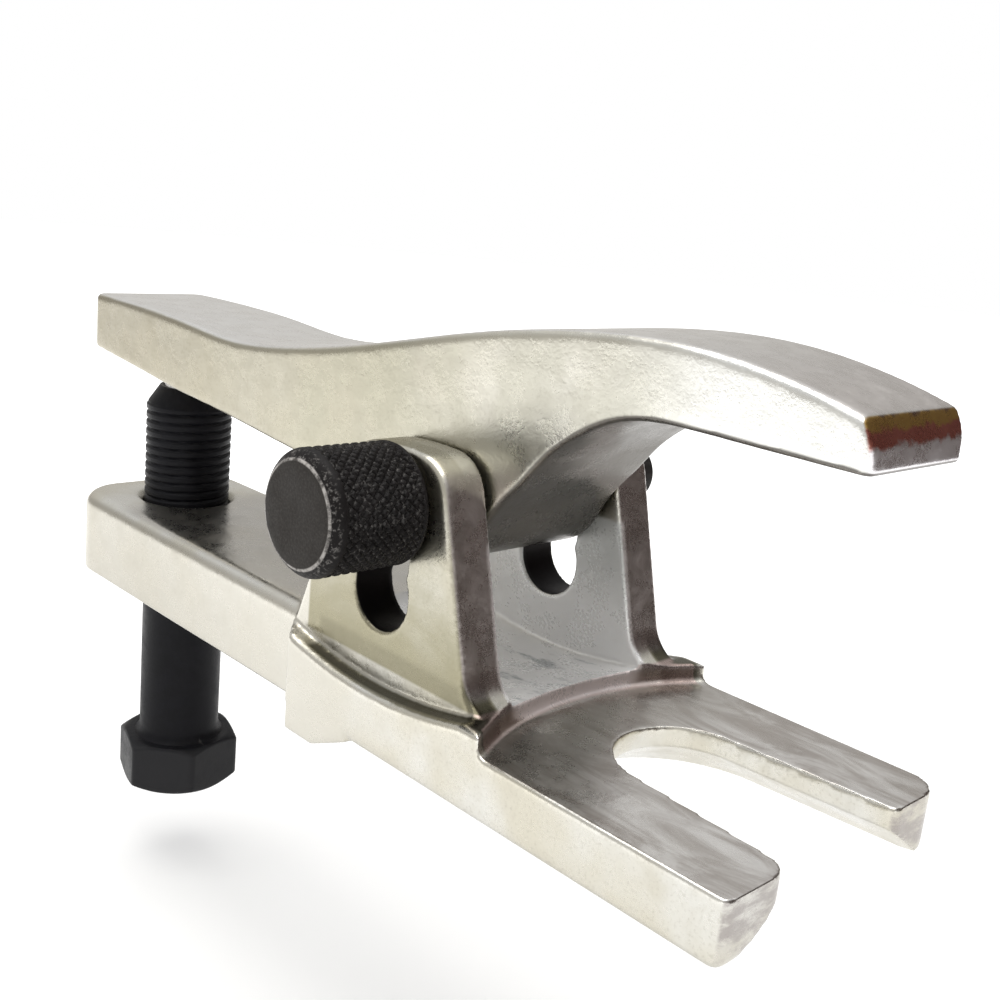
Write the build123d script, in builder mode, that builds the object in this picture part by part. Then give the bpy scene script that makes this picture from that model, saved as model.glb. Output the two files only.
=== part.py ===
from build123d import *
import math
import os

# Ball joint separator, millimetres.
# Origin: centre of the fork slot's rounded throat, on the fork's top face (where the stud sits).
# +X runs out past the fork tips, +Z runs up towards the pressing nose, the near side with the knob is -Y.

# fork
fork_half_width = 20.7
fork_bottom = -8.2
fork_tip_x = 20.8
throat_radius = 8.6
mouth_half_width = 10.2
slot_band = 2.6
slot_under_width = 8.0
slot_flare = (mouth_half_width - throat_radius) / fork_tip_x
tip_near_outer_radius = 1.2
tip_near_inner_radius = 3.0
tip_far_inner_radius = 1.2
tip_far_outer_radius = 4.0
under_edge_radius = 2.0

# base block and shank
base_top = 3.0
step_mid_x = -19.2
step_side_x = -13.5
shoulder_front_x = -50.6
shoulder_rear_x = -56.6
boss_bottom = -11.3
boss_front_x = -44.5
boss_ramp_x = -37.5
shank_half_width = 15.0
shank_bottom = -10.8
shank_rear_x = -127.3
shank_corner_radius = 8.0
dish_rear_x = -54.5
dish_mid_x = -38.0
dish_front_x = -17.0
dish_mid_z = 0.3
dish_front_z = 2.5
rim_radius = 0.8
step_root_radius = 1.2

# ears
ear_inner_y = 11.6
ear_thickness = 6.3
ear_outer_y = ear_inner_y + ear_thickness
ear_top_radius_front = 5.5
ear_top_radius_rear = 7.0
ear_edge_chamfer = 0.5

# pivot seats in the ears
pivot_x = -34.6
pivot_z = 23.75
lower_seat_x = -35.9
lower_seat_z = 12.2
seat_radius = 5.1
neck_half_width = 4.15

# pressure screw
screw_x = -113.3
thread_radius = 7.25
thread_hole_radius = 7.3
plain_radius = 7.05
plain_top_z = -12.6
screw_tip_z = 22.7
screw_tip_radius = 5.1
tip_chamfer_height = 3.2
head_top_z = -41.8
head_height = 8.8
head_across_flats = 19.0
head_turn_deg = 44.0
hole_countersink = 1.1
ball_radius = 4.4
ball_sink = 1.0
ball_fit = 0.02

# pivot pin group
pin_radius = 4.0
collar_radius = 5.05
bore_radius = 5.15
bore_step_y = -4.0
bore_step_radius = 4.08
pin_end_y = 26.5
pin_end_chamfer = 0.8
knob_radius = 7.5
knob_length = 13.5
knob_gap = 0.5
knob_inner_y = -(ear_outer_y + knob_gap)
knob_outer_y = knob_inner_y - knob_length
spigot_radius = 3.0
spigot_length = 11.0
clip_thickness = 0.9
clip_outer_radius = 5.0
clip_groove_radius = 3.3
clip_y = ear_outer_y + 0.05
spring_wire = 0.75
spring_mean_radius = 4.55
spring_turns = 7

# upper lever
lever_half_width = 11.1
lever_nose_half_width = 9.1
lever_rear_half_width = 10.3
lever_rear_x = -129.2
lever_boss_radius = 8.0
lever_edge_top = 0.9
lever_edge_under = 0.7
lever_nose_corner = 2.0

os.makedirs("parts", exist_ok=True)


def draw_slot(reach):
    """Outline of the stud slot, from its throat to reach millimetres past the tine tips."""
    end_x = fork_tip_x + reach
    end_y = mouth_half_width + slot_flare * reach
    Line((0, throat_radius), (end_x, end_y))
    Line((end_x, end_y), (end_x, -end_y))
    Line((end_x, -end_y), (0, -throat_radius))
    ThreePointArc((0, -throat_radius), (-throat_radius, 0), (0, throat_radius))


tip_corners = (
    (-fork_half_width, tip_near_outer_radius),
    (-mouth_half_width, tip_near_inner_radius),
    (mouth_half_width, tip_far_inner_radius),
    (fork_half_width, tip_far_outer_radius),
)

# one ear, with a hollow root at its front and a narrow chamfer round its outer face
ear_layers = (
    (ear_inner_y, ear_thickness - ear_edge_chamfer, 0),
    (ear_outer_y - ear_edge_chamfer, ear_edge_chamfer, 45),
)
with BuildPart() as ear:
    for layer_y, layer_thickness, layer_taper in ear_layers:
        with BuildSketch(Plane.XZ.offset(layer_y)) as ear_profile:
            with BuildLine():
                Line((-14.0, -3.0), (-14.0, 2.3))
                ThreePointArc((-14.0, 2.3), (-17.9, 3.3), (-20.0, 6.2))
                Line((-20.0, 6.2), (-26.4, 30.2))
                ThreePointArc((-26.4, 30.2), (-35.0, 30.7), (-43.6, 29.6))
                Line((-43.6, 29.6), (-53.9, 2.0))
                Line((-53.9, 2.0), (-52.0, -3.0))
                Line((-52.0, -3.0), (-14.0, -3.0))
            make_face()
            front_top = ear_profile.vertices().filter_by_position(Axis.Y, 29, 31).sort_by(Axis.X)[-1]
            fillet(front_top, radius=ear_top_radius_front)
            rear_top = ear_profile.vertices().filter_by_position(Axis.Y, 29, 31).sort_by(Axis.X)[0]
            fillet(rear_top, radius=ear_top_radius_rear)
        extrude(amount=layer_thickness, taper=layer_taper)

# lower jaw: fork, base, shank and two ears in one forging
with BuildPart() as lower_jaw:
    # fork and base in plan, with the stud slot and rounded tine tips
    with BuildSketch(Plane.XY.offset(fork_bottom)) as plan:
        with BuildLine():
            Polyline(
                (fork_tip_x, -fork_half_width),
                (fork_tip_x, fork_half_width),
                (shoulder_front_x, fork_half_width),
                (shoulder_rear_x, shank_half_width),
                (shoulder_rear_x, -shank_half_width),
                (shoulder_front_x, -fork_half_width),
                close=True,
            )
        make_face()
        with BuildLine():
            draw_slot(5)
        make_face(mode=Mode.SUBTRACT)
        for corner_y, corner_radius in tip_corners:
            corner = plan.vertices().sort_by_distance((fork_tip_x, corner_y, fork_bottom))[0]
            fillet(corner, radius=corner_radius)
    extrude(amount=base_top - fork_bottom)

    # wide sloping relief round the underside of the slot
    relief_height = -slot_band - fork_bottom
    with BuildSketch(Plane.XY.offset(-slot_band)):
        with BuildLine():
            draw_slot(20)
        make_face()
    relief_slope = math.degrees(math.atan2(slot_under_width, relief_height))
    extrude(amount=-(relief_height + 0.5), taper=-relief_slope, mode=Mode.SUBTRACT)

    # rounded lower side edges
    lower_edges = (
        lower_jaw.edges()
        .filter_by_position(Axis.Z, fork_bottom - 0.01, fork_bottom + 0.01)
        .filter_by(lambda edge: abs(edge.center().Y) > 20.6 and edge.length > 20)
    )
    fillet(lower_edges, radius=under_edge_radius)

    # deeper boss under the rear of the base
    with BuildSketch(Plane.XZ):
        with BuildLine():
            Polyline(
                (shoulder_front_x, fork_bottom + 3.0),
                (boss_ramp_x, fork_bottom + 3.0),
                (boss_ramp_x, fork_bottom),
                (boss_front_x, boss_bottom),
                (shoulder_front_x, boss_bottom),
                close=True,
            )
        make_face()
    extrude(amount=fork_half_width, both=True)

    # shank
    with BuildSketch(Plane.XY.offset(shank_bottom)):
        with Locations(((shank_rear_x + boss_front_x) / 2, 0)):
            Rectangle(boss_front_x - shank_rear_x, 2 * shank_half_width)
    extrude(amount=base_top - shank_bottom)

    # rounded rear corners of the shank
    rear_corners = lower_jaw.edges().filter_by(Axis.Z).group_by(Axis.X)[0]
    fillet(rear_corners, radius=shank_corner_radius)

    # shallow dish across the top of the base, under and outside the ears
    with BuildSketch(Plane.XZ):
        with BuildLine():
            ThreePointArc(
                (dish_rear_x, base_top + 0.01),
                (dish_mid_x, dish_mid_z),
                (dish_front_x, dish_front_z),
            )
            Line((dish_front_x, dish_front_z), (fork_tip_x + 2, dish_front_z))
            Line((fork_tip_x + 2, dish_front_z), (fork_tip_x + 2, base_top + 0.01))
            Line((fork_tip_x + 2, base_top + 0.01), (dish_rear_x, base_top + 0.01))
        make_face()
    extrude(amount=fork_half_width + 1, both=True, mode=Mode.SUBTRACT)

    # outline edges of the shank and the rims of the base, before the ears go on
    shank_top_edges = (
        lower_jaw.edges()
        .filter_by_position(Axis.Z, base_top - 0.01, base_top + 0.01)
        .filter_by_position(Axis.X, shank_rear_x - 1, shoulder_rear_x + 1)
    )
    fillet(shank_top_edges, radius=2.4)
    rim_edges = lower_jaw.edges().filter_by(
        lambda edge: abs(edge.center().Y) > fork_half_width - 0.05
        and edge.center().Z > 0.1
        and edge.length > 30
    )
    fillet(rim_edges, radius=rim_radius)

    # two ears
    add(ear.part)
    mirror(ear.part, about=Plane.XZ)

    # fork top face, cut down in front of the curved step
    with BuildSketch(Plane.XY):
        with BuildLine():
            ThreePointArc(
                (step_side_x, -fork_half_width),
                (step_mid_x, 0),
                (step_side_x, fork_half_width),
            )
            Line((step_side_x, fork_half_width), (step_side_x, fork_half_width + 2))
            Line((step_side_x, fork_half_width + 2), (fork_tip_x + 2, fork_half_width + 2))
            Line((fork_tip_x + 2, fork_half_width + 2), (fork_tip_x + 2, -fork_half_width - 2))
            Line((fork_tip_x + 2, -fork_half_width - 2), (step_side_x, -fork_half_width - 2))
            Line((step_side_x, -fork_half_width - 2), (step_side_x, -fork_half_width))
        make_face()
    extrude(amount=10, mode=Mode.SUBTRACT)
    step_root = lower_jaw.edges().filter_by(
        lambda edge: abs(edge.center().Z) < 0.01 and edge.length > 40 and edge.geom_type == GeomType.CIRCLE
    )
    fillet(step_root, radius=step_root_radius)

    # seats for the pivot pin: two round pockets joined by a narrower neck
    with BuildSketch(Plane.XZ):
        with Locations((pivot_x, pivot_z), (lower_seat_x, lower_seat_z)):
            Circle(seat_radius)
        with BuildLine():
            Polyline(
                (pivot_x - neck_half_width, pivot_z),
                (pivot_x + neck_half_width, pivot_z),
                (lower_seat_x + neck_half_width, lower_seat_z),
                (lower_seat_x - neck_half_width, lower_seat_z),
                close=True,
            )
        make_face()
    extrude(amount=ear_outer_y + 2, both=True, mode=Mode.SUBTRACT)

    # screw hole with countersunk mouths
    with Locations((screw_x, 0, 0)):
        Cylinder(thread_hole_radius, 40, mode=Mode.SUBTRACT)
    for mouth_z, turn in ((base_top, 180), (shank_bottom, 0)):
        with Locations(Location((screw_x, 0, mouth_z), (turn, 0, 0))):
            Cone(
                thread_hole_radius + hole_countersink,
                thread_hole_radius,
                hole_countersink,
                align=(Align.CENTER, Align.CENTER, Align.MIN),
                mode=Mode.SUBTRACT,
            )

lower_jaw.part.label = "lower_jaw"
export_step(lower_jaw.part, "parts/lower_jaw.step")


# upper lever: long arm over the screw, boss on the pivot, arched nose over the fork
with BuildPart() as upper_lever:
    with BuildSketch(Plane.XZ):
        with BuildLine():
            Spline(
                (lever_rear_x, 36.6),
                (-112.0, 36.7),
                (-97.0, 36.2),
                (-84.0, 35.5),
                (-71.0, 36.5),
                (-57.0, 38.8),
                (-43.0, 41.9),
                (-29.0, 45.0),
                (-14.0, 47.3),
                (-1.0, 47.9),
                (10.0, 46.8),
                (19.4, 44.6),
            )
            Line((19.4, 44.6), (20.8, 41.9))
            Line((20.8, 41.9), (21.1, 39.1))
            Line((21.1, 39.1), (2.0, 39.4))
            Spline(
                (2.0, 39.4),
                (-4.5, 39.2),
                (-9.0, 38.1),
                (-13.4, 35.7),
                (-17.8, 32.2),
                (-21.4, 28.0),
                (-26.9, 20.6),
                tangents=((-1, 0), (-0.45, -0.89)),
            )
            ThreePointArc((-26.9, 20.6), (-31.6, 16.3), (-37.4, 16.2))
            Spline(
                (-37.4, 16.2),
                (-48.0, 19.0),
                (-58.0, 21.5),
                (-70.0, 22.8),
                (-84.0, 24.0),
                (-98.0, 24.9),
                (-113.3, 26.2),
                (lever_rear_x, 27.4),
                tangents=((-0.94, 0.34), (-1, 0.08)),
            )
            Line((lever_rear_x, 27.4), (lever_rear_x, 36.6))
        make_face()
    extrude(amount=lever_half_width, both=True)

    # taper in plan towards both ends
    with BuildSketch(Plane.XY):
        with BuildLine():
            ThreePointArc(
                (lever_rear_x - 1, -lever_rear_half_width),
                (pivot_x, -lever_half_width),
                (22.0, -lever_nose_half_width),
            )
            Line((22.0, -lever_nose_half_width), (22.0, lever_nose_half_width))
            ThreePointArc(
                (22.0, lever_nose_half_width),
                (pivot_x, lever_half_width),
                (lever_rear_x - 1, lever_rear_half_width),
            )
            Line(
                (lever_rear_x - 1, lever_rear_half_width),
                (lever_rear_x - 1, -lever_rear_half_width),
            )
        make_face()
    extrude(amount=60, mode=Mode.INTERSECT)

    # rounded rear corners, then the top and underside edges along both flanks
    rear_corners = upper_lever.edges().filter_by(Axis.Z).group_by(Axis.X)[0]
    fillet(rear_corners, radius=2.2)
    flank_edges = upper_lever.edges().filter_by(
        lambda edge: abs(edge.center().Y) > 6 and abs(edge.tangent_at(0.5).Z) < 0.95
    )
    top_edges = flank_edges.filter_by(lambda edge: edge.center().Z > 36 and edge.center().X < 5)
    under_edges = flank_edges.filter_by(lambda edge: edge.center().Z < 36)
    fillet(top_edges, radius=lever_edge_top)
    fillet(under_edges, radius=lever_edge_under)

    # rounded upright corners of the nose
    corner_x = 21.2 - lever_nose_corner
    for side in (-1, 1):
        with BuildSketch(Plane.XY):
            with BuildLine():
                ThreePointArc(
                    (corner_x, side * 9.3),
                    (corner_x + 0.71 * lever_nose_corner, side * (9.3 - 0.29 * lever_nose_corner)),
                    (corner_x + lever_nose_corner, side * (9.3 - lever_nose_corner)),
                )
                Line((corner_x + lever_nose_corner, side * (9.3 - lever_nose_corner)), (23, side * 12))
                Line((23, side * 12), (corner_x, side * 12))
                Line((corner_x, side * 12), (corner_x, side * 9.3))
            make_face()
        extrude(amount=60, mode=Mode.SUBTRACT)

    # stepped bore for the pivot pin, with the wide half holding the spring
    with BuildSketch(Plane.XZ):
        with Locations((pivot_x, pivot_z)):
            Circle(bore_step_radius)
    extrude(amount=lever_half_width + 1, both=True, mode=Mode.SUBTRACT)
    with BuildSketch(Plane.XZ.offset(-bore_step_y)):
        with Locations((pivot_x, pivot_z)):
            Circle(bore_radius)
    extrude(amount=-(lever_half_width + 1 - bore_step_y), mode=Mode.SUBTRACT)

upper_lever.part.label = "upper_lever"
export_step(upper_lever.part, "parts/upper_lever.step")


# pressure screw: hexagon head below, plain thread barrel, cupped tip for the ball
with BuildPart() as pressure_screw:
    with BuildSketch(Plane.XZ) as screw_profile:
        with BuildLine():
            Polyline(
                (0, head_top_z - 1),
                (plain_radius + 1.6, head_top_z - 1),
                (plain_radius + 1.6, head_top_z),
                (plain_radius, head_top_z + 1.6),
                (plain_radius, plain_top_z),
                (thread_radius, plain_top_z + 0.5),
                (thread_radius, screw_tip_z - tip_chamfer_height),
                (screw_tip_radius, screw_tip_z),
                (0, screw_tip_z),
                close=True,
            )
        make_face()
    revolve(axis=Axis.Z)
    with BuildSketch(Plane.XY.offset(head_top_z)):
        RegularPolygon(head_across_flats / 2, 6, major_radius=False, rotation=head_turn_deg)
    extrude(amount=-head_height)
    # bearing chamfers of the hexagon
    with BuildSketch(Plane.XZ):
        with BuildLine():
            Polyline(
                (0, head_top_z - head_height),
                (head_across_flats / 2 - 0.2, head_top_z - head_height),
                (head_across_flats / 2 + 2.2, head_top_z - head_height + 1.3),
                (head_across_flats / 2 + 2.2, head_top_z - 1.1),
                (head_across_flats / 2 - 0.2, head_top_z),
                (plain_radius + 1.6, head_top_z),
                (thread_radius, head_top_z + 1.6),
                (thread_radius, screw_tip_z),
                (0, screw_tip_z),
                close=True,
            )
        make_face()
    revolve(axis=Axis.Z, mode=Mode.INTERSECT)
    # cup for the ball
    with Locations((0, 0, screw_tip_z - ball_sink)):
        Sphere(ball_radius + ball_fit, mode=Mode.SUBTRACT)

pressure_screw.part.position = (screw_x, 0, 0)
pressure_screw.part.label = "pressure_screw"
export_step(pressure_screw.part, "parts/pressure_screw.step")


# hardened ball in the screw tip
with BuildPart() as thrust_ball:
    with Locations((screw_x, 0, screw_tip_z - ball_sink)):
        Sphere(ball_radius)

thrust_ball.part.label = "thrust_ball"
export_step(thrust_ball.part, "parts/thrust_ball.step")


# pivot pin: spigot for the knob, near collar, long shaft, clip groove, rounded far end
with BuildPart() as pivot_pin:
    with BuildSketch(Plane.YZ) as pin_profile:
        with BuildLine():
            Polyline(
                (knob_inner_y - spigot_length, 0),
                (knob_inner_y - spigot_length, spigot_radius),
                (knob_inner_y, spigot_radius),
                (knob_inner_y, collar_radius),
                (-ear_inner_y, collar_radius),
                (-ear_inner_y, pin_radius),
                (clip_y, pin_radius),
                (clip_y, clip_groove_radius),
                (clip_y + clip_thickness, clip_groove_radius),
                (clip_y + clip_thickness, pin_radius),
                (pin_end_y - pin_end_chamfer, pin_radius),
                (pin_end_y, pin_radius - pin_end_chamfer),
                (pin_end_y, 0),
                close=True,
            )
        make_face()
    revolve(axis=Axis.Y)

pivot_pin.part.position = (pivot_x, 0, pivot_z)
pivot_pin.part.label = "pivot_pin"
export_step(pivot_pin.part, "parts/pivot_pin.step")


# knurled knob, pressed over the spigot
with BuildPart() as knob:
    with BuildSketch(Plane.YZ) as knob_profile:
        with BuildLine():
            Polyline(
                (knob_outer_y, 0),
                (knob_outer_y, knob_radius - 1.0),
                (knob_outer_y + 1.0, knob_radius),
                (knob_inner_y - 0.6, knob_radius),
                (knob_inner_y, knob_radius - 0.6),
                (knob_inner_y, spigot_radius),
                (knob_inner_y - spigot_length, spigot_radius),
                (knob_inner_y - spigot_length, 0),
                close=True,
            )
        make_face()
    revolve(axis=Axis.Y)

knob.part.position = (pivot_x, 0, pivot_z)
knob.part.label = "knob"
export_step(knob.part, "parts/knob.step")


# far bush, sliding over the pin and seated in the far ear
with BuildPart() as far_bush:
    with BuildSketch(Plane.XZ.offset(-ear_outer_y)):
        with Locations((pivot_x, pivot_z)):
            Circle(collar_radius)
            Circle(pin_radius + 0.03, mode=Mode.SUBTRACT)
    extrude(amount=ear_thickness)

far_bush.part.label = "far_bush"
export_step(far_bush.part, "parts/far_bush.step")


# retaining clip, an open ring in the pin's groove
with BuildPart() as retaining_clip:
    with BuildSketch(Plane.XZ.offset(-clip_y - clip_thickness + 0.03)):
        with Locations((pivot_x, pivot_z)):
            Circle(clip_outer_radius)
            Circle(clip_groove_radius + 0.02, mode=Mode.SUBTRACT)
        with Locations((pivot_x, pivot_z - clip_outer_radius)):
            Rectangle(3.4, 2 * clip_outer_radius, mode=Mode.SUBTRACT)
    extrude(amount=clip_thickness - 0.06)

retaining_clip.part.label = "retaining_clip"
export_step(retaining_clip.part, "parts/retaining_clip.step")


# return spring round the pin, inside the wide half of the lever's bore
spring_start_y = bore_step_y + spring_wire / 2 + 0.05
spring_end_y = ear_inner_y - spring_wire / 2 - 0.05
with BuildPart() as pin_spring:
    with BuildLine() as coil:
        Helix(
            pitch=(spring_end_y - spring_start_y) / spring_turns,
            height=spring_end_y - spring_start_y,
            radius=spring_mean_radius,
        )
    with BuildSketch(Plane(coil.line @ 0, z_dir=coil.line % 0)):
        Circle(spring_wire / 2)
    sweep()

pin_spring.part.location = Location((pivot_x, spring_start_y, pivot_z), (-90, 0, 0))
pin_spring.part.label = "pin_spring"
export_step(pin_spring.part, "parts/pin_spring.step")
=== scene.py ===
import math

import bpy
from mathutils import Matrix, Vector

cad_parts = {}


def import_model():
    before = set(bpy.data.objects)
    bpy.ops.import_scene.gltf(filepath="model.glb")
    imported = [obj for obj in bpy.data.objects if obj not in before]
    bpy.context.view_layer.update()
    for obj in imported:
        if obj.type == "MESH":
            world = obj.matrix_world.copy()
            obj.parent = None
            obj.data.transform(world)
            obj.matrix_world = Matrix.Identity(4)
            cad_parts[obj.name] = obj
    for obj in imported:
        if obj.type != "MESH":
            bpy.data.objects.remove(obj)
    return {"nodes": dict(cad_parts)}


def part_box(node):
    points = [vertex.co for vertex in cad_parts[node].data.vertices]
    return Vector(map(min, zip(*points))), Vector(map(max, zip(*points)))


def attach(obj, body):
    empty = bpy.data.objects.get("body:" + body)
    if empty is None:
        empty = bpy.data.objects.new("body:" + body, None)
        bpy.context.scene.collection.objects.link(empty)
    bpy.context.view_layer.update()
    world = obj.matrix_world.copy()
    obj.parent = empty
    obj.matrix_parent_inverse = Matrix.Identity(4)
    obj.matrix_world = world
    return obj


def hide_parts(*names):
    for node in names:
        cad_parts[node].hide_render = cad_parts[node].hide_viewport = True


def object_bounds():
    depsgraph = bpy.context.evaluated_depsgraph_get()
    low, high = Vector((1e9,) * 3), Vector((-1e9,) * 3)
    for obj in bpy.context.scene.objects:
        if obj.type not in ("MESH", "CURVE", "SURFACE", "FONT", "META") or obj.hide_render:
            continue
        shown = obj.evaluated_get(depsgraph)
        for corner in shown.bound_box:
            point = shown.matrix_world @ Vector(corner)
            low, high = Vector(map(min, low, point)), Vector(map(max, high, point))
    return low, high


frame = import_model()
cad_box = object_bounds()
nodes = frame["nodes"]
MM = 0.001


# ---------------------------------------------------------------- node helpers
class Nodes:
    """A node tree, with short calls for the nodes used here."""

    def __init__(self, tree):
        self.tree = tree
        self.tree.nodes.clear()

    def add(self, kind, **settings):
        node = self.tree.nodes.new(kind)
        for key, value in settings.items():
            setattr(node, key, value)
        return node

    def link(self, source, socket):
        if isinstance(source, bpy.types.NodeSocket):
            self.tree.links.new(source, socket)
        else:
            socket.default_value = source

    def ramp(self, source, low, high, to_low=0.0, to_high=1.0):
        """source from low..high to to_low..to_high, smooth and clamped."""
        node = self.add("ShaderNodeMapRange", interpolation_type="SMOOTHSTEP")
        self.link(source, node.inputs["Value"])
        for key, value in (("From Min", low), ("From Max", high), ("To Min", to_low), ("To Max", to_high)):
            node.inputs[key].default_value = value
        return node.outputs["Result"]

    def math(self, operation, a, b=0.0):
        node = self.add("ShaderNodeMath", operation=operation)
        self.link(a, node.inputs[0])
        self.link(b, node.inputs[1])
        return node.outputs[0]

    def mix(self, factor, a, b):
        """Colour a where factor is 0 and b where it is 1; each is a colour or a socket."""
        node = self.add("ShaderNodeMix", data_type="RGBA")
        self.link(factor, node.inputs["Factor"])
        for value, socket in ((a, node.inputs["A"]), (b, node.inputs["B"])):
            self.link(value if isinstance(value, bpy.types.NodeSocket) else (*value, 1), socket)
        return node.outputs["Result"]

    def times(self, *values):
        product = values[0]
        for value in values[1:]:
            product = self.math("MULTIPLY", product, value)
        return product

    def invert(self, value):
        return self.math("SUBTRACT", 1.0, value)

    def split(self, vector, name):
        """One of a vector's X, Y and Z."""
        node = self.add("ShaderNodeSeparateXYZ")
        self.link(vector, node.inputs[0])
        return node.outputs[name]

    def vector_math(self, operation, vector, other=None, output="Vector"):
        node = self.add("ShaderNodeVectorMath", operation=operation)
        self.link(vector, node.inputs[0])
        if other is not None:
            node.inputs[1].default_value = other
        return node.outputs[output]


class Graph(Nodes):
    """A material, with its position in millimetres as point."""

    def __init__(self, name):
        self.mat = bpy.data.materials.new(name)
        self.mat.use_nodes = True
        super().__init__(self.mat.node_tree)
        out = self.add("ShaderNodeOutputMaterial")
        self.bsdf = self.add("ShaderNodeBsdfPrincipled")
        self.link(self.bsdf.outputs[0], out.inputs["Surface"])
        coord = self.add("ShaderNodeTexCoord")
        scale = self.add("ShaderNodeVectorMath", operation="SCALE")
        scale.inputs["Scale"].default_value = 1000
        self.link(coord.outputs["Object"], scale.inputs[0])
        self.point = scale.outputs[0]

    def noise(self, size, detail=3.0, rough=0.55, stretch=None, seed=0.0, distortion=0.0):
        """Noise with features about size millimetres across, from 0 to 1."""
        vector = self.point
        if stretch or seed:
            mapping = self.add("ShaderNodeMapping")
            mapping.inputs["Scale"].default_value = stretch or (1, 1, 1)
            mapping.inputs["Location"].default_value = (seed, seed * 0.7, seed * 1.3)
            self.link(vector, mapping.inputs["Vector"])
            vector = mapping.outputs[0]
        node = self.add("ShaderNodeTexNoise")
        self.link(vector, node.inputs["Vector"])
        node.inputs["Scale"].default_value = 1 / size
        node.inputs["Detail"].default_value = detail
        node.inputs["Roughness"].default_value = rough
        node.inputs["Distortion"].default_value = distortion
        return node.outputs["Fac"]

    def axis(self, name):
        """X, Y or Z of the position in millimetres."""
        return self.split(self.point, name)

    def normal(self, name):
        coord = self.add("ShaderNodeTexCoord")
        return self.split(coord.outputs["Normal"], name)

    def edges(self, low, high):
        geometry = self.add("ShaderNodeNewGeometry")
        return self.ramp(geometry.outputs["Pointiness"], low, high)

    def occlusion(self, distance, samples=6):
        node = self.add("ShaderNodeAmbientOcclusion", samples=samples)
        node.inputs["Distance"].default_value = distance
        return node.outputs["AO"]

    def bump(self, height, distance, previous=None):
        node = self.add("ShaderNodeBump")
        node.inputs["Strength"].default_value = 1.0
        node.inputs["Distance"].default_value = distance
        self.link(height, node.inputs["Height"])
        if previous is not None:
            self.link(previous, node.inputs["Normal"])
        return node.outputs["Normal"]

    def surface(self, color, roughness, normal=None, metallic=1.0):
        """Finish the material; metallic None leaves a link made to that socket as it is."""
        plain = not isinstance(color, bpy.types.NodeSocket)
        self.link((*color, 1) if plain else color, self.bsdf.inputs["Base Color"])
        self.link(roughness, self.bsdf.inputs["Roughness"])
        if metallic is not None:
            self.bsdf.inputs["Metallic"].default_value = metallic
        if normal is not None:
            self.link(normal, self.bsdf.inputs["Normal"])
        return self.mat


# ---------------------------------------------------------------- materials
def box_mask(g, low, high, blur):
    """1 inside a box in millimetres, fading over blur millimetres outside it; None opens a side."""
    parts = []
    for name, start, end in zip("XYZ", low, high):
        value = g.axis(name)
        if start is not None:
            parts.append(g.ramp(value, start - blur, start, 0, 1))
        if end is not None:
            parts.append(g.ramp(value, end, end + blur, 1, 0))
    return g.times(*parts)


def magnitude(g, value):
    return g.math("ABSOLUTE", value)


def tint(g, color, mask, strength, target):
    """color moved toward target where mask is 1."""
    return g.mix(g.times(mask, strength), color, target)


def plated(name, seed, speckle):
    """Satin nickel plate over a forging: speckled sides, soft waves, painted highlights on the edges,
    painted shade in the corners.
    """
    g = Graph(name)
    cloud = g.noise(16, 3, seed=seed)
    patch = g.noise(4.0, 4, 0.6, seed=seed + 3)
    grain = g.noise(0.45, 3, 0.65, seed=seed + 7)
    sides = g.ramp(magnitude(g, g.normal("Y")), 0.5, 0.9, 0.2, 1.0)
    color = g.mix(g.ramp(cloud, 0.35, 0.65), (0.615, 0.585, 0.495), (0.69, 0.68, 0.635))
    color = g.mix(g.ramp(patch, 0.50, 0.72, 0, 0.30), color, (0.53, 0.50, 0.42))
    flecks = g.times(g.ramp(grain, 0.50, 0.72, 0, 0.5 * speckle), sides)
    color = g.mix(flecks, color, (0.36, 0.34, 0.28))
    # painted highlight on the edges; the same edges are also made a little less rough
    edge = g.edges(0.52, 0.58)
    color = tint(g, color, edge, 0.6, (0.86, 0.85, 0.82))
    # painted shade in corners and creases, from ambient occlusion
    crevice_shade = g.ramp(g.occlusion(5 * MM), 0.25, 0.85, 0.6, 0.0)
    rough = g.math("ADD", g.ramp(patch, 0.3, 0.8, 0.24, 0.34), g.ramp(grain, 0.4, 0.8, 0.0, 0.08))
    rough = g.math("SUBTRACT", rough, g.times(edge, 0.06))
    height = g.bump(g.noise(9, 2, seed=seed + 11), 0.22 * MM)
    height = g.bump(g.noise(1.8, 3, 0.6, seed=seed + 13), 0.04 * MM, height)
    height = g.bump(g.times(grain, sides), 0.035 * MM * speckle, height)
    return g, color, rough, height, crevice_shade


# colour of the painted shade in corners and creases
CREVICE_SHADE_COLOR = (0.20, 0.185, 0.14)


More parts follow.
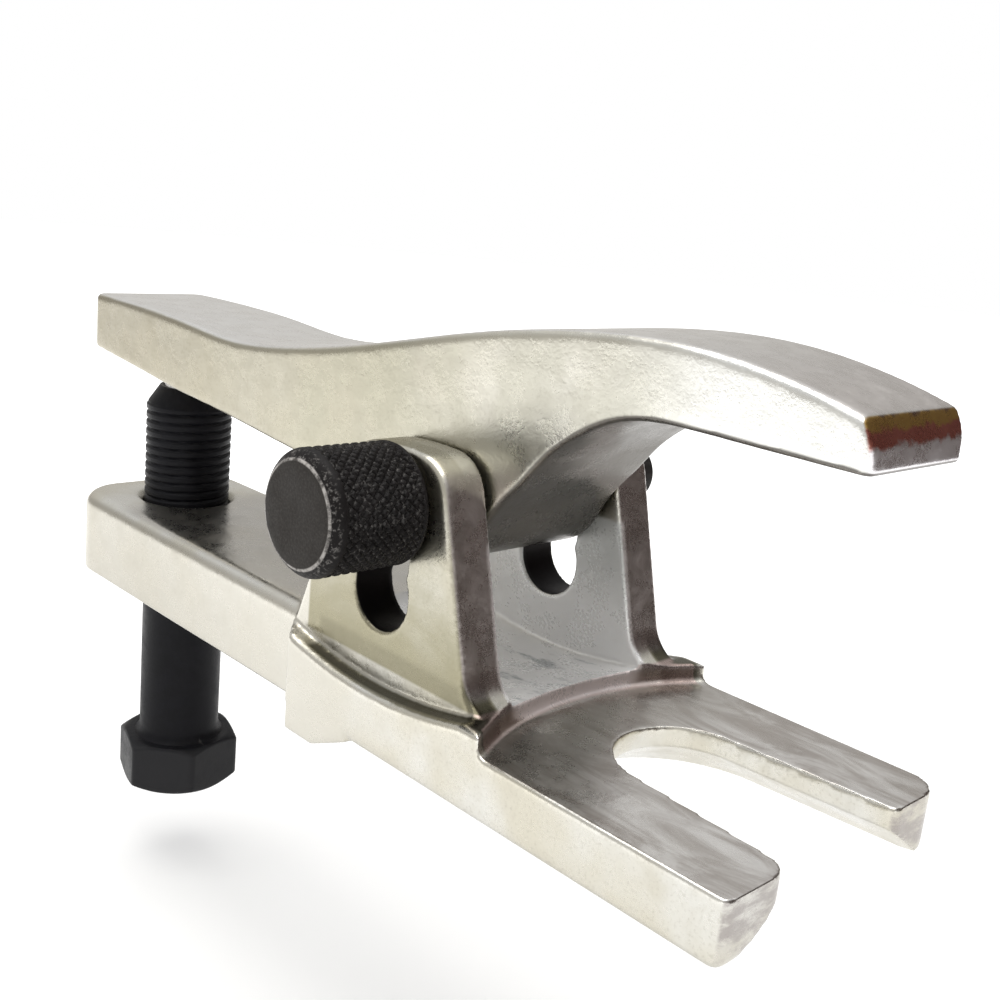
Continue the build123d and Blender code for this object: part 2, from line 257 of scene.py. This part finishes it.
def jaw_material():
    g, color, rough, height, crevice_shade = plated("plated_jaw", 2.0, 0.6)
    across = magnitude(g, g.normal("Y"))
    outward = magnitude(g, g.axis("Y"))
    facing_up = g.ramp(g.normal("Z"), 0.75, 0.95)
    streak = g.noise(5, 5, 0.65, stretch=(0.35, 1.0, 1.0), seed=41, distortion=1.2)
    # painted shade: sides that darken a little toward the rear
    side_shade = g.mix(g.ramp(g.axis("X"), -110, -45), (0.44, 0.42, 0.365), (0.60, 0.58, 0.52))
    side = g.times(g.ramp(across, 0.6, 0.9), g.ramp(g.axis("X"), -20, -45, 0, 1))
    color = tint(g, color, side, 0.85, side_shade)
    # painted olive shade on the outer faces of the ears, strongest low down
    ear_box = box_mask(g, (-50, None, 3), (-15, None, 32), 0.5)
    ear_side = g.times(g.ramp(outward, 14.2, 14.8), ear_box)
    low_down = g.ramp(g.math("ADD", g.axis("Z"), g.ramp(streak, 0.3, 0.7, -2, 2)), 4, 24, 1, 0.35)
    color = tint(g, color, g.times(ear_side, low_down), 0.88, (0.285, 0.262, 0.168))
    # painted shade in the hollow around the ears' feet
    hollow_shade = g.times(
        g.ramp(outward, 14.2, 15.2),
        g.ramp(outward, 19.4, 20.2, 1, 0),
        box_mask(g, (-47, None, -1), (-14.5, None, 4.6), 1.2),
        g.ramp(across, 0.45, 0.95, 1, 0.25),
    )
    color = tint(g, color, hollow_shade, 0.95, (0.085, 0.078, 0.052))
    # painted light on the channel between the ears, with less painted shade in its corners
    channel_box = box_mask(g, (-54, -12.6, -1), (-18, 12.6, 20), 0.8)
    channel = g.times(channel_box, g.ramp(outward, 12.0, 12.6, 1, 0))
    # painted shade in the corners and creases, with less of it in the channel
    crevice_shade = g.times(crevice_shade, g.invert(g.times(channel, 0.8)))
    color = tint(g, color, crevice_shade, 1.0, CREVICE_SHADE_COLOR)
    channel_light = g.mix(g.ramp(g.axis("Z"), 6, 17), (1.0, 1.0, 1.0), (0.52, 0.53, 0.52))
    color = tint(g, color, channel, 0.9, channel_light)
    smudge = g.noise(4.5, 5, 0.7, stretch=(0.45, 1.3, 1), seed=77)
    smudged = g.times(channel, facing_up)
    color = tint(g, color, smudged, g.ramp(smudge, 0.50, 0.64, 0, 0.7), (0.20, 0.235, 0.25))
    # top of the fork: brown streaks from handling and heat, with a painted reflection of the dark lever
    # underside toward the rear
    fork_top = g.times(box_mask(g, (-20, None, -1), (40, None, 1.0), 0.6), facing_up)
    brown = g.mix(g.ramp(streak, 0.35, 0.66), (0.86, 0.84, 0.81), (0.50, 0.46, 0.425))
    # painted reflection of the dark lever underside, darker toward the rear
    brown = g.mix(g.ramp(g.axis("X"), -15, 3, 0.75, 0), brown, (0.34, 0.315, 0.28))
    color = tint(g, color, fork_top, 0.9, brown)
    # darker top of the shank
    shank_top = g.times(facing_up, box_mask(g, (-105, None, -1), (-56, None, 3.4), 8))
    color = tint(g, color, shank_top, 0.7, (0.42, 0.40, 0.37))
    # warm oxide on the curved step
    step_box = box_mask(g, (-21, -19, 0.15), (-11, 19, 2.7), 0.25)
    step = g.times(step_box, g.ramp(g.normal("X"), 0.1, 0.4))
    color = tint(g, color, step, 0.6, (0.55, 0.42, 0.39))
    # painted shade on the ear fronts, brown-grey with a mottled tone
    front_box = box_mask(g, (-30, None, 2.5), (-13, None, 30), 1.0)
    ear_front = g.times(front_box, g.ramp(g.normal("X"), 0.6, 0.9))
    mottled = g.mix(g.ramp(streak, 0.35, 0.65), (0.58, 0.53, 0.52), (0.39, 0.35, 0.34))
    color = tint(g, color, ear_front, 0.85, mottled)
    # scuffed upper part of the fork's tips
    tip_box = box_mask(g, (19.5, None, -6), (40, None, -0.4), 1.5)
    tip = g.times(tip_box, g.ramp(g.normal("X"), 0.35, 0.7))
    scuff = g.noise(2.2, 5, 0.7, stretch=(1, 0.5, 1.4), seed=90)
    color = tint(g, color, tip, g.ramp(scuff, 0.36, 0.60, 0.15, 0.8), (0.34, 0.31, 0.30))
    # dark walls of the pivot seats: painted shadow from the knob above, with black oil on the walls
    seat_box = box_mask(g, (-42.2, None, 6.6), (-28.8, None, 29.2), 0.3)
    seat_shadow_and_oil = g.times(seat_box, g.ramp(across, 0.35, 0.75, 1, 0))
    color = tint(g, color, seat_shadow_and_oil, 1.0, (0.018, 0.016, 0.016))
    rough = g.math("ADD", rough, g.times(seat_shadow_and_oil, 0.25))
    # the channel carries painted light, so part of it is not metallic
    g.link(g.invert(g.times(channel, 0.65)), g.bsdf.inputs["Metallic"])
    return g.surface(color, rough, height, metallic=None)


def lever_material():
    g, color, rough, height, crevice_shade = plated("plated_lever", 31.0, 1.1)
    # painted shade in the corners and creases
    color = tint(g, color, crevice_shade, 1.0, CREVICE_SHADE_COLOR)
    # painted shade: sides that darken toward the rear
    shade = g.mix(g.ramp(g.axis("X"), -120, -55), (0.31, 0.28, 0.205), (0.41, 0.385, 0.30))
    shade = g.mix(g.ramp(g.axis("X"), -50, -18), shade, (0.63, 0.61, 0.54))
    shade = g.mix(g.ramp(g.axis("X"), -14, 8), shade, (0.82, 0.82, 0.79))
    side = g.ramp(magnitude(g, g.normal("Y")), 0.6, 0.9)
    color = tint(g, color, side, 0.85, shade)
    # greyer top, lighter toward the rear and browner where it runs down to the nose
    top_face = g.ramp(g.normal("Z"), 0.75, 0.95)
    grey = g.mix(g.ramp(g.axis("X"), -90, -30), (0.80, 0.79, 0.775), (0.76, 0.745, 0.725))
    color = tint(g, color, top_face, 0.8, grey)
    nose_top = g.times(g.ramp(g.axis("X"), -6, 20), top_face)
    color = tint(g, color, nose_top, 0.65, (0.74, 0.69, 0.65))
    # greenish shade across the middle of the sides
    cloud = g.ramp(g.noise(11, 3, seed=52), 0.38, 0.62)
    cloudy = g.times(cloud, box_mask(g, (-62, None, 22), (-4, None, 43), 7), side)
    color = tint(g, color, cloudy, 0.35, (0.42, 0.41, 0.32))
    # heat tint across the upper facet of the nose
    nose_front = g.times(g.ramp(g.axis("X"), 18.6, 19.4), g.ramp(g.normal("X"), 0.5, 0.8))
    level = g.math("ADD", g.axis("Z"), g.ramp(g.noise(2.0, 3, seed=5), 0.3, 0.7, -0.35, 0.35))
    heat = g.mix(g.ramp(level, 41.5, 42.2), (0.88, 0.86, 0.88), (0.52, 0.16, 0.12))
    heat = g.mix(g.ramp(level, 43.0, 43.6), heat, (0.60, 0.38, 0.09))
    heat = g.mix(g.ramp(level, 44.2, 44.8), heat, (0.24, 0.15, 0.11))
    color = tint(g, color, nose_front, 0.95, heat)
    # painted shade under the arch
    arch_box = box_mask(g, (-36, None, 10), (22, None, 40), 2)
    under = g.times(g.ramp(g.normal("Z"), -0.12, -0.35), arch_box)
    color = tint(g, color, under, 0.9, (0.115, 0.105, 0.095))
    return g.surface(color, rough, height)


def black_oxide(name, base, shine, seed):
    """Start of a black oxide on steel: near black, with rubbed edges and a faint oily variation."""
    g = Graph(name)
    blotch = g.noise(3.0, 4, 0.6, seed=seed)
    grain = g.noise(0.4, 3, seed=seed + 5)
    color = g.mix(g.ramp(blotch, 0.3, 0.7), base, tuple(1.6 * c for c in base))
    color = tint(g, color, g.edges(0.54, 0.64), 0.35, (0.12, 0.115, 0.11))
    rough = g.math("ADD", g.ramp(blotch, 0.3, 0.8, shine, shine + 0.16), g.ramp(grain, 0.3, 0.8, 0.0, 0.1))
    height = g.bump(blotch, 0.04 * MM)
    height = g.bump(grain, 0.02 * MM, height)
    g.bsdf.inputs["Specular IOR Level"].default_value = 0.12
    return g, color, rough, height


def pin_material(name):
    g, color, rough, height = black_oxide(name, (0.006, 0.005, 0.005), 0.36, 12.0)
    return g.surface(color, rough, height, metallic=0.0)


def screw_material():
    g, color, rough, height = black_oxide("black_screw", (0.005, 0.005, 0.0065), 0.34, 3.0)
    # greyer head
    head = g.ramp(g.axis("Z"), -42.5, -41.5, 1, 0)
    color = tint(g, color, head, 0.9, (0.022, 0.022, 0.024))
    return g.surface(color, rough, height, metallic=0.0)


def knob_material(cx, cz):
    """Black oxide with a greyer, rubbed end face and a worn bright ring around it."""
    g, color, rough, height = black_oxide("black_knob", (0.006, 0.005, 0.005), 0.42, 8.0)
    away = g.vector_math("SUBTRACT", g.point, (cx, 0, cz))
    flat = g.vector_math("MULTIPLY", away, (1, 0, 1))
    radius = g.vector_math("LENGTH", flat, output="Value")
    end = g.ramp(g.normal("Y"), -0.95, -0.75, 1, 0)
    fine = g.noise(0.35, 3, 0.7, seed=14)
    rubbed = g.mix(g.ramp(fine, 0.4, 0.7), (0.024, 0.021, 0.018), (0.040, 0.035, 0.031))
    color = tint(g, color, end, 0.8, rubbed)
    band = g.times(g.ramp(radius, 6.3, 6.5), g.ramp(radius, 7.2, 7.45, 1, 0))
    worn = g.noise(0.5, 3, 0.7, seed=20)
    color = tint(g, color, band, g.ramp(worn, 0.5, 0.7, 0.0, 0.6), (0.22, 0.21, 0.20))
    ring = g.times(g.ramp(radius, 6.02, 6.22), g.ramp(radius, 6.38, 6.52, 1, 0))
    broken = g.ramp(g.noise(1.5, 4, 0.7, seed=33), 0.35, 0.6, 0.1, 0.9)
    color = tint(g, color, ring, broken, (0.42, 0.40, 0.38))
    return g.surface(color, rough, height, metallic=0.0)


def bright_ball():
    g = Graph("bright_ball")
    smear = g.noise(1.2, 3, seed=4)
    color = g.mix(g.ramp(smear, 0.4, 0.7), (0.86, 0.86, 0.87), (0.78, 0.78, 0.79))
    rough = g.ramp(smear, 0.3, 0.7, 0.10, 0.24)
    return g.surface(color, rough, g.bump(g.noise(0.5, 2, seed=9), 0.01 * MM))


def spring_steel():
    g = Graph("spring_steel")
    smear = g.noise(0.8, 3, seed=6)
    color = g.mix(g.ramp(smear, 0.4, 0.7), (0.50, 0.50, 0.50), (0.36, 0.35, 0.34))
    rough = g.ramp(smear, 0.3, 0.7, 0.3, 0.45)
    return g.surface(color, rough, g.bump(g.noise(0.3, 2, seed=9), 0.01 * MM))


def paint(obj, mat):
    obj.data.materials.clear()
    obj.data.materials.append(mat)


# ---------------------------------------------------------------- mesh helpers
def mesh_object(name, vertices, faces):
    mesh = bpy.data.meshes.new(name)
    mesh.from_pydata(vertices, [], faces)
    mesh.validate()
    mesh.update()
    obj = bpy.data.objects.new(name, mesh)
    bpy.context.scene.collection.objects.link(obj)
    return obj


def ring_surface(name, rings, count):
    """A closed mesh from rings of points, each (x, y, z) list of the same count, capped at both ends."""
    vertices = [p for ring in rings for p in ring]
    faces = []
    for k in range(len(rings) - 1):
        a, b = k * count, (k + 1) * count
        for i in range(count):
            j = (i + 1) % count
            faces.append((a + i, a + j, b + j, b + i))
    vertices.append(tuple(sum(p[c] for p in rings[0]) / count for c in range(3)))
    vertices.append(tuple(sum(p[c] for p in rings[-1]) / count for c in range(3)))
    low, high = len(vertices) - 2, len(vertices) - 1
    top = (len(rings) - 1) * count
    for i in range(count):
        j = (i + 1) % count
        faces.append((low, j, i))
        faces.append((high, top + i, top + j))
    return mesh_object(name, vertices, faces)


SHARP_ANGLE = math.radians(40)


def shade_smooth(obj):
    for polygon in obj.data.polygons:
        polygon.use_smooth = True
    with bpy.context.temp_override(object=obj, active_object=obj, selected_editable_objects=[obj]):
        bpy.ops.object.shade_smooth_by_angle(angle=SHARP_ANGLE)


def soft_min(a, b, blend):
    """The smaller of a and b, rounded over where they cross."""
    h = max(blend - abs(a - b), 0) / blend
    return min(a, b) - h * h * blend / 4


# ---------------------------------------------------------------- forged bodies
FORGED_VOXEL = 0.32 * MM
SMOOTH_PASSES = 5


def forged(obj):
    """Even mesh over a CAD forging, so that its edges are rounded as forged and plated ones are."""
    weld = obj.modifiers.new("closed", "WELD")
    weld.merge_threshold = 0.005 * MM
    remesh = obj.modifiers.new("even", "REMESH")
    remesh.mode = "VOXEL"
    remesh.voxel_size = FORGED_VOXEL
    remesh.use_smooth_shade = True
    smooth = obj.modifiers.new("soft_edges", "SMOOTH")
    smooth.factor = 0.5
    smooth.iterations = SMOOTH_PASSES


forged(nodes["lower_jaw"])
forged(nodes["upper_lever"])
paint(nodes["lower_jaw"], jaw_material())
paint(nodes["upper_lever"], lever_material())

# ---------------------------------------------------------------- pressure screw, in millimetres
THREAD_PITCH = 1.5
THREAD_DEPTH = 0.34
THREAD_RUNOUT = 1.5
THREAD_RADIUS = 7.25
PLAIN_RADIUS = 7.05
PLAIN_TOP = -12.6
HEAD_HEIGHT = 8.8
HALF_FLATS = 9.5
HEAD_TURN = math.radians(44)
CHAMFER_RADIUS = 9.35
UNDER_SLOPE, OVER_SLOPE = 1.75, 1.9
CORNER_BLEND = 0.5
FLANGE_RADIUS = 7.9
TIP_RADIUS = 5.1
TIP_SLOPE = 0.67
SCREW_AROUND = 144
HEAD_RINGS = 36
RINGS_PER_TURN = 12


def pressure_screw():
    low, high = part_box("pressure_screw")
    cx = (low.x + high.x) / 2 / MM
    bottom, tip = low.z / MM, high.z / MM
    head_top = bottom + HEAD_HEIGHT

    def hexagon(angle):
        folded = (angle - HEAD_TURN) % (math.pi / 3) - math.pi / 6
        return HALF_FLATS / math.cos(folded)

    def head_radius(angle, z):
        """Hexagon cut by rounded chamfer cones at both ends."""
        under = CHAMFER_RADIUS + (z - bottom) * UNDER_SLOPE
        over = CHAMFER_RADIUS + (head_top - z) * OVER_SLOPE
        return soft_min(soft_min(hexagon(angle), under, CORNER_BLEND), over, CORNER_BLEND)

    def barrel_radius(angle, z):
        """Plain below PLAIN_TOP, then a shallow helical thread, and a cone at the tip."""
        if z < PLAIN_TOP:
            return PLAIN_RADIUS
        phase = (z / THREAD_PITCH - angle / (2 * math.pi)) % 1
        tooth = min(2 * abs(2 * phase - 1), 1)
        depth = THREAD_DEPTH * min((z - PLAIN_TOP) / THREAD_RUNOUT, 1)
        radius = THREAD_RADIUS - depth * (1 - tooth)
        cone = TIP_RADIUS + (tip - z) * TIP_SLOPE
        return min(radius, cone)

    rings = []

    def ring(radius_of, z):
        row = []
        for i in range(SCREW_AROUND):
            angle = 2 * math.pi * i / SCREW_AROUND
            r = radius_of(angle, z)
            row.append(((cx + r * math.cos(angle)) * MM, r * math.sin(angle) * MM, z * MM))
        rings.append(row)

    # flat end of the head
    for share in (0.35, 0.7, 0.93):
        ring(lambda a, z, s=share: head_radius(a, z + 0.05) * s, bottom)
    for k in range(HEAD_RINGS + 1):
        ring(head_radius, bottom + HEAD_HEIGHT * k / HEAD_RINGS)
    for share in (0.5625, 0.0):
        ring(lambda a, z, s=share: FLANGE_RADIUS + (head_radius(a, z) - FLANGE_RADIUS) * s, head_top)
    # fillet from the head up to the plain barrel
    for radius, rise in ((7.7, 0.2), (7.3, 0.7), (PLAIN_RADIUS, 1.6)):
        ring(lambda a, z, r=radius: r, head_top + rise)
    ring(barrel_radius, PLAIN_TOP - 0.6)
    z = PLAIN_TOP
    while z < tip - 0.05:
        ring(barrel_radius, z)
        z += THREAD_PITCH / RINGS_PER_TURN
    # socket that holds the ball
    socket = ((TIP_RADIUS, 0), (4.75, 0), (4.3, 0.3), (4.2, 1.0), (3.4, 3.2), (1.5, 4.8))
    for radius, drop in socket:
        ring(lambda a, z, r=radius: r, tip - drop)
    obj = ring_surface("pressure_screw_threaded", rings, SCREW_AROUND)
    shade_smooth(obj)
    paint(obj, screw_material())
    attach(obj, "screw")
    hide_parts("pressure_screw")


pressure_screw()


# ---------------------------------------------------------------- knurled knob, in millimetres
KNOB_AROUND = 432
DIAMONDS = 36
KNURL_DEPTH = 0.36
KNURL_SLOPE = 1.7
KNURL_STEP = 0.11


def knurled_knob():
    low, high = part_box("knob")
    cx, cz = (low.x + high.x) / 2 / MM, (low.z + high.z) / 2 / MM
    outer, inner = low.y / MM, high.y / MM
    radius = (high.z - low.z) / 2 / MM
    pitch = 2 * math.pi * radius / DIAMONDS
    knurl_low, knurl_high = outer + 1.7, inner - 0.6

    def wave(value):
        return abs(2 * (value % 1) - 1)

    def knurl(angle, y):
        u = angle / (2 * math.pi) * DIAMONDS
        v = y / pitch
        groove = min(wave(u + v), wave(u - v))
        fade = min((y - knurl_low) / 0.5, 1) * min((knurl_high - y) / 0.3, 1)
        return radius - KNURL_DEPTH * (1 - min(groove * KNURL_SLOPE, 1)) * fade

    rings = []

    def ring(radius_of, y):
        row = []
        for i in range(KNOB_AROUND):
            angle = 2 * math.pi * i / KNOB_AROUND
            r = radius_of(angle, y)
            row.append(((cx + r * math.cos(angle)) * MM, y * MM, (cz - r * math.sin(angle)) * MM))
        rings.append(row)

    # outer end face, its edge and the chamfer up to the knurl
    end_face = ((2.5, 0.02), (5.2, 0.02), (6.1, 0.03))
    edge = ((6.32, 0.10), (6.42, 0.2))
    chamfer = ((6.95, 0.62), (7.3, 1.05), (7.42, 1.3), (7.46, 1.5))
    for r, inward in end_face + edge + chamfer:
        ring(lambda a, y, r=r: r, outer + inward)
    steps = round((knurl_high - knurl_low) / KNURL_STEP)
    for k in range(steps + 1):
        ring(knurl, knurl_low + (knurl_high - knurl_low) * k / steps)
    for r, outward in ((7.4, 0.3), (7.1, 0.08), (6.7, 0), (5.5, 0), (3.0, 0)):
        ring(lambda a, y, r=r: r, inner - outward)
    obj = ring_surface("knob_knurled", rings, KNOB_AROUND)
    shade_smooth(obj)
    paint(obj, knob_material(cx, cz))
    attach(obj, "pin")
    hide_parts("knob")


knurled_knob()

# ---------------------------------------------------------------- pieces shown by their CAD meshes
for name in ("pivot_pin", "far_bush", "retaining_clip"):
    paint(nodes[name], pin_material("black_" + name))
paint(nodes["thrust_ball"], bright_ball())
paint(nodes["pin_spring"], spring_steel())

# ---------------------------------------------------------------- camera
# place in millimetres, angles in degrees
CAMERA_AT = Vector((74.88, -108.92, 61.58)) * MM
AZIMUTH, ELEVATION, ROLL = (math.radians(v) for v in (45.18, 14.35, 5.72))
level = math.cos(ELEVATION)
back = Vector((math.sin(AZIMUTH) * level, -math.cos(AZIMUTH) * level, math.sin(ELEVATION)))
side = Vector((math.cos(AZIMUTH), math.sin(AZIMUTH), 0))
above = side.cross(-back)
right = side * math.cos(ROLL) + above * math.sin(ROLL)
top = above * math.cos(ROLL) - side * math.sin(ROLL)
camera_data = bpy.data.cameras.new("camera")
camera_data.sensor_width = 36
camera_data.lens = 44.27
camera_data.clip_start = 0.01
camera = bpy.data.objects.new("camera", camera_data)
bpy.context.scene.collection.objects.link(camera)
turn = Matrix((right, top, back)).transposed().to_4x4()
camera.matrix_world = Matrix.Translation(CAMERA_AT) @ turn
bpy.context.scene.camera = camera


# ---------------------------------------------------------------- stage and light
# metres
FLOOR_DROP = 16.5 * MM
FLOOR_RADIUS = 2.0
FLOOR_SIDES = 96
CARD_LOW, CARD_HIGH = -0.05, 0.30
CARD_NEAR, CARD_FAR = Vector((0.46, 0.02)), Vector((0.02, 0.46))
CARD_BOW = 0.12
CARD_COLUMNS = 8
LAMP_AT = (-0.05, -0.10, 0.85)
LAMP_SIZE = (0.9, 0.7)
LAMP_WATTS = 7.0


def floor():
    """A round pale table top that brightens to plain white, low enough for the backed-off screw."""
    z = cad_box[0].z - FLOOR_DROP
    turns = [2 * math.pi * i / FLOOR_SIDES for i in range(FLOOR_SIDES)]
    rim = [(FLOOR_RADIUS * math.cos(turn), FLOOR_RADIUS * math.sin(turn), z) for turn in turns]
    obj = mesh_object("floor", rim, [tuple(range(FLOOR_SIDES))])
    g = Graph("studio_floor")
    paint(obj, g.surface((0.62, 0.62, 0.615), 0.8, metallic=0.0))
    reach = g.vector_math("LENGTH", g.point, output="Value")
    g.link(g.ramp(reach, 120, 420, 0.42, 1), g.bsdf.inputs["Emission Strength"])
    g.bsdf.inputs["Emission Color"].default_value = (1, 1, 1, 1)


def dark_card():
    """A brown card at the object's far right, unseen by the camera, that gives the steel its dark side."""
    points, faces = [], []
    for k in range(CARD_COLUMNS + 1):
        share = k / CARD_COLUMNS
        bow = 1 - CARD_BOW * math.sin(math.pi * share)
        x, y = (CARD_NEAR * (1 - share) + CARD_FAR * share) / bow
        points += [(x, y, CARD_LOW), (x, y, CARD_HIGH)]
    for k in range(CARD_COLUMNS):
        faces.append((2 * k, 2 * k + 2, 2 * k + 3, 2 * k + 1))
    obj = mesh_object("dark_card", points, faces)
    paint(obj, Graph("card").surface((0.07, 0.055, 0.05), 0.9, metallic=0.0))
    obj.visible_camera = False


def top_softbox():
    """A slightly warm softbox above the object, turned toward its middle."""
    light = bpy.data.lights.new("top_softbox", "AREA")
    light.shape = "RECTANGLE"
    light.size, light.size_y = LAMP_SIZE
    light.energy = LAMP_WATTS
    light.color = (1.0, 0.985, 0.96)
    obj = bpy.data.objects.new("top_softbox", light)
    bpy.context.scene.collection.objects.link(obj)
    centre = (cad_box[0] + cad_box[1]) / 2
    obj.location = Vector(LAMP_AT)
    obj.rotation_euler = (Vector(LAMP_AT) - centre).to_track_quat("Z", "Y").to_euler()


floor()
dark_card()
top_softbox()


def world():
    """A pale room with a darker, browner side beyond the far right; the camera sees plain white."""
    studio = bpy.data.worlds.new("studio")
    bpy.context.scene.world = studio
    studio.use_nodes = True
    g = Nodes(studio.node_tree)
    out = g.add("ShaderNodeOutputWorld")
    room = g.add("ShaderNodeBackground")
    seen = g.add("ShaderNodeBackground")
    choose = g.add("ShaderNodeMixShader")
    path = g.add("ShaderNodeLightPath")
    toward = g.add("ShaderNodeTexCoord").outputs["Generated"]
    up = g.split(toward, "Z")
    far_right = g.vector_math("DOT_PRODUCT", toward, (0.72, 0.69, 0), output="Value")
    pale = g.mix(g.ramp(up, 0.0, 0.9), (0.60, 0.58, 0.55), (0.80, 0.81, 0.83))
    dark_side = g.times(g.ramp(far_right, -0.1, 0.85), g.ramp(up, 0.25, 0.8, 1, 0))
    g.link(g.mix(dark_side, pale, (0.11, 0.09, 0.08)), room.inputs["Color"])
    seen.inputs["Color"].default_value = (1, 1, 1, 1)
    g.link(path.outputs["Is Camera Ray"], choose.inputs[0])
    g.link(room.outputs[0], choose.inputs[1])
    g.link(seen.outputs[0], choose.inputs[2])
    g.link(choose.outputs[0], out.inputs[0])


world()
bpy.context.scene.view_settings.view_transform = "Standard"
